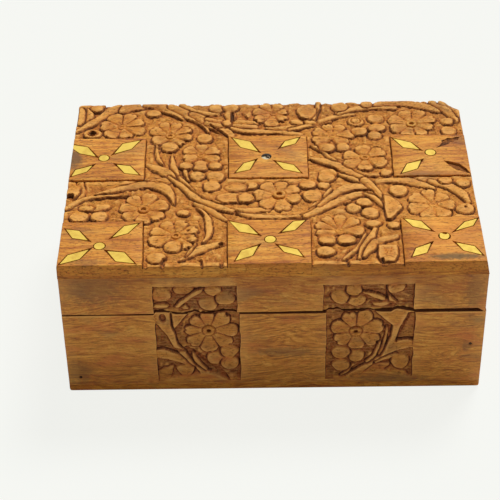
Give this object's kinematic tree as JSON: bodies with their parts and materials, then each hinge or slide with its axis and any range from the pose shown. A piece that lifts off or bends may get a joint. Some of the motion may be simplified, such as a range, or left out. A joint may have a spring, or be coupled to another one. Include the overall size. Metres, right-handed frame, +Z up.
{
  "type": "keepsake box",
  "caption": "Hinged wooden keepsake box with a carved floral lid, plain raised panels and petal-shaped brass inlay.",
  "frame": {"origin": "middle of the underside, on the surface the box stands on", "axes": "+X along the box to the right, +Y from the front to the hinged back, +Z up"},
  "size_m": [0.2032, 0.137, 0.0809],
  "materials": {
    "sheesham": "hand carved and waxed sheesham",
    "brass": "filed flat and rubbed down with the wood",
    "steel": "dull dark steel"
  },
  "bodies": {
    "base": {"base_back_board": "sheesham", "base_back_nails": "steel", "base_bottom_nails": "steel", "base_bottom_panel": "sheesham", "base_front_board": "sheesham", "base_front_nails": "steel", "base_left_board": "sheesham", "base_right_board": "sheesham", "hinge_left_base_leaf": "brass", "hinge_left_base_screws": "steel", "hinge_left_pin": "steel", "hinge_right_base_leaf": "brass", "hinge_right_base_screws": "steel", "hinge_right_pin": "steel"},
    "lid": {"hinge_left_lid_leaf": "brass", "hinge_left_lid_screws": "steel", "hinge_right_lid_leaf": "brass", "hinge_right_lid_screws": "steel", "inlay_dot_back_left": "brass", "inlay_dot_back_right": "brass", "inlay_dot_front_left": "brass", "inlay_dot_front_middle": "brass", "inlay_dot_front_right": "brass", "inlay_petal_back_left_ne": "brass", "inlay_petal_back_left_nw": "brass", "inlay_petal_back_left_se": "brass", "inlay_petal_back_left_sw": "brass", "inlay_petal_back_middle_ne": "brass", "inlay_petal_back_middle_nw": "brass", "inlay_petal_back_middle_se": "brass", "inlay_petal_back_middle_sw": "brass", "inlay_petal_back_right_nw": "brass", "inlay_petal_back_right_sw": "brass", "inlay_petal_front_left_ne": "brass", "inlay_petal_front_left_nw": "brass", "inlay_petal_front_left_se": "brass", "inlay_petal_front_left_sw": "brass", "inlay_petal_front_middle_ne": "brass", "inlay_petal_front_middle_nw": "brass", "inlay_petal_front_middle_se": "brass", "inlay_petal_front_middle_sw": "brass", "inlay_petal_front_right_ne": "brass", "inlay_petal_front_right_nw": "brass", "inlay_petal_front_right_se": "brass", "inlay_petal_front_right_sw": "brass", "lid_back_rail": "sheesham", "lid_front_rail": "sheesham", "lid_left_rail": "sheesham", "lid_right_rail": "sheesham", "lid_top_board": "sheesham", "steel_pin": "steel"}
  },
  "joints": [
    {"name": "lid_hinge", "type": "hinge", "parent": "base", "child": "lid", "pos_m": [0, 0.0655, 0.0496], "axis": [-1, 0, 0], "range_deg": [0, 104]}
  ]
}
